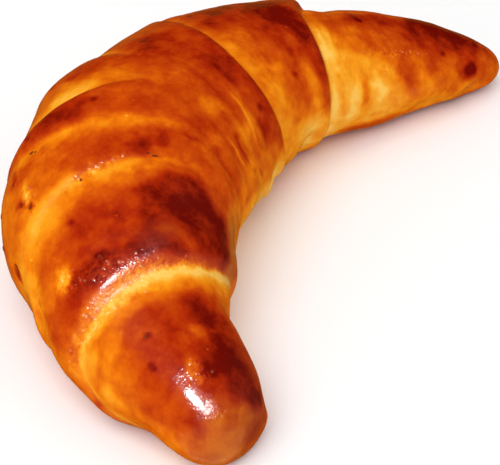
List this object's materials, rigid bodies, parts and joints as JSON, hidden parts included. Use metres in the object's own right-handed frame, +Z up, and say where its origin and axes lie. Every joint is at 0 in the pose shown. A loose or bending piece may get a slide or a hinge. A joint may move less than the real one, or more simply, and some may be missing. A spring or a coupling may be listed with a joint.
{
  "type": "walnut bun",
  "caption": "Crescent-shaped rolled bread bun with overlapping wraps, a glossy browned crust and a flat underside.",
  "frame": {"origin": "middle of the bun's box, on the plane it rests on", "axes": "+Z up, +X from the blunt tip to the pointed tip, the tips bent towards -Y"},
  "size_m": [0.1696, 0.0964, 0.0442],
  "materials": {
    "crust": "egg-washed crust baked golden to mahogany brown, pale where the wraps part"
  },
  "bodies": {
    "root": {"bun": "crust"}
  },
  "joints": []
}
